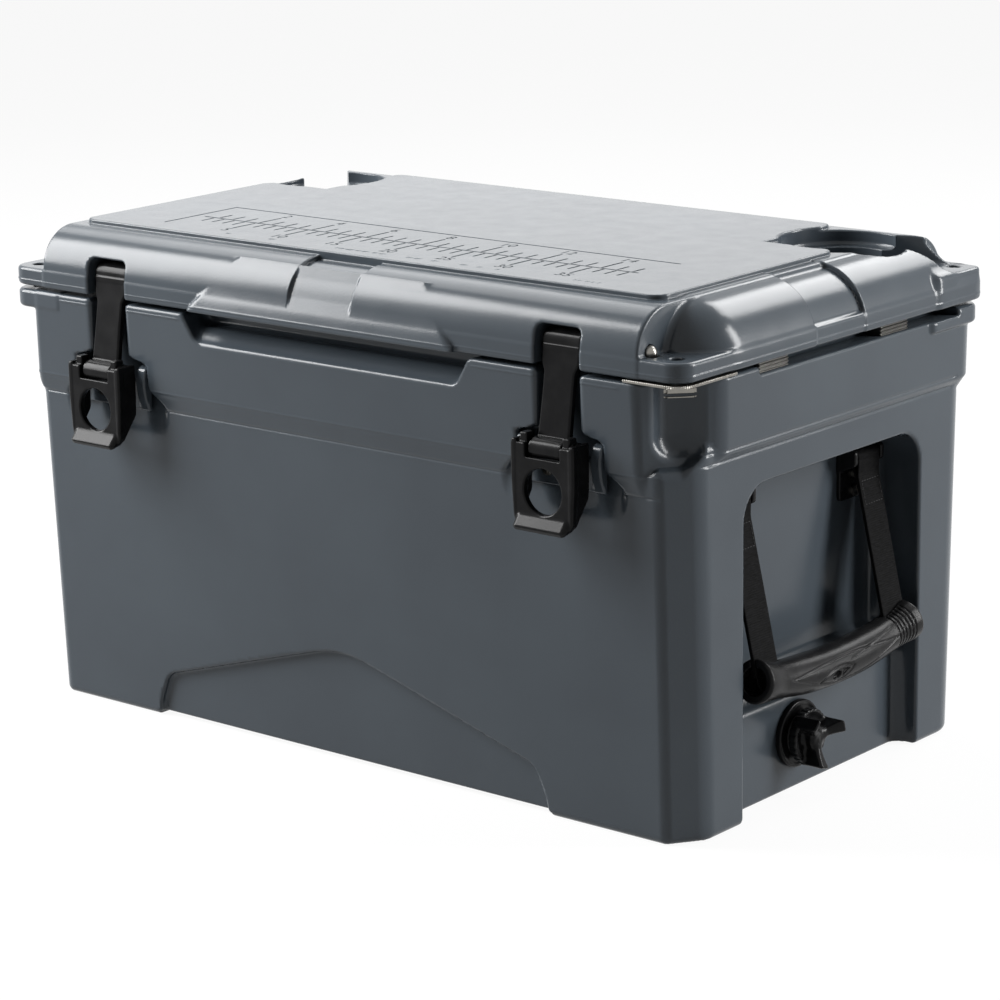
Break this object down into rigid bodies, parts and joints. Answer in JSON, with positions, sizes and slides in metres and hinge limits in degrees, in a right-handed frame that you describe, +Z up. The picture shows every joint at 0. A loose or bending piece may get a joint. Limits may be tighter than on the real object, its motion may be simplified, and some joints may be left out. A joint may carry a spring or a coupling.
{
  "type": "cooler box",
  "caption": "Hard-sided rectangular cooler with a hinged lid, two over-centre latches, swinging end handles, cup holders and a screw-out drain plug.",
  "frame": {"origin": "centre of the flat underside, on the ground, midway between the ends and between the front and back walls", "axes": "+X along the length, towards the end with the drain; -Y towards the front with the latches; +Z up"},
  "size_m": [0.61, 0.3678, 0.35],
  "materials": {
    "shell_plastic": "satin moulded plastic, blue-grey",
    "foam_core": "foamed in place",
    "seal_rubber": "matt",
    "stainless_steel": "brushed",
    "webbing": "woven webbing",
    "grip_plastic": "semi-gloss moulded",
    "black_plastic": "semi-gloss moulded"
  },
  "bodies": {
    "cooler_body": {"body_shell": "shell_plastic", "rim_tabs": "shell_plastic", "body_foam": "foam_core", "hinge_rods": "stainless_steel", "left_latch_keeper": "shell_plastic", "right_latch_keeper": "shell_plastic", "keeper_screws": "stainless_steel", "corner_plate": "stainless_steel", "corner_plate_screws": "stainless_steel", "rim_wear_plates": "stainless_steel", "left_handle_anchors": "black_plastic", "right_handle_anchors": "black_plastic", "handle_anchor_screws": "stainless_steel", "drain_bushing": "black_plastic", "drain_nut": "black_plastic"},
    "lid": {"lid_shell": "shell_plastic", "lid_foam": "foam_core", "lid_gasket": "seal_rubber", "left_latch_rod": "stainless_steel", "right_latch_rod": "stainless_steel"},
    "left_strap": {"left_latch_strap": "black_plastic"},
    "right_strap": {"right_latch_strap": "black_plastic"},
    "left_lever": {"left_latch_lever": "black_plastic", "left_lever_pin": "stainless_steel"},
    "right_lever": {"right_latch_lever": "black_plastic", "right_lever_pin": "stainless_steel"},
    "left_handle": {"left_handle_webbing": "webbing", "left_handle_grip": "grip_plastic"},
    "right_handle": {"right_handle_webbing": "webbing", "right_handle_grip": "grip_plastic"},
    "drain_slider": {"drain_seal": "seal_rubber"},
    "drain_cap": {"drain_plug": "black_plastic"}
  },
  "joints": [
    {"name": "lid_hinge", "type": "hinge", "parent": "cooler_body", "child": "lid", "pos_m": [0, 0.16793, 0.309], "axis": [-1, 0, 0], "range_deg": [0, 100]},
    {"name": "left_strap_swing", "type": "hinge", "parent": "lid", "child": "left_strap", "pos_m": [-0.201, -0.15793, 0.319], "axis": [-1, 0, 0], "range_deg": [0, 85]},
    {"name": "left_lever_swing", "type": "hinge", "parent": "left_strap", "child": "left_lever", "pos_m": [-0.201, -0.17793, 0.253], "axis": [-1, 0, 0], "range_deg": [0, 100]},
    {"name": "right_strap_swing", "type": "hinge", "parent": "lid", "child": "right_strap", "pos_m": [0.201, -0.15793, 0.319], "axis": [-1, 0, 0], "range_deg": [0, 85]},
    {"name": "right_lever_swing", "type": "hinge", "parent": "right_strap", "child": "right_lever", "pos_m": [0.201, -0.17793, 0.253], "axis": [-1, 0, 0], "range_deg": [0, 100]},
    {"name": "left_handle_swing", "type": "hinge", "parent": "cooler_body", "child": "left_handle", "pos_m": [-0.2643, 0.004, 0.208], "axis": [0, 1, 0], "range_deg": [0, 75]},
    {"name": "right_handle_swing", "type": "hinge", "parent": "cooler_body", "child": "right_handle", "pos_m": [0.2643, 0.004, 0.208], "axis": [0, -1, 0], "range_deg": [0, 75]},
    {"name": "drain_travel", "type": "slide", "parent": "cooler_body", "child": "drain_slider", "axis": [1, 0, 0], "range_m": [0, 0.0081]},
    {"name": "drain_turn", "type": "hinge", "parent": "drain_slider", "child": "drain_cap", "pos_m": [0.274, -0.015, 0.038], "axis": [1, 0, 0], "range_deg": [0, 720]}
  ],
  "couplings": [
    {"joint": "drain_travel", "follows": "drain_turn", "m_per_rad": 0.00063662}
  ]
}
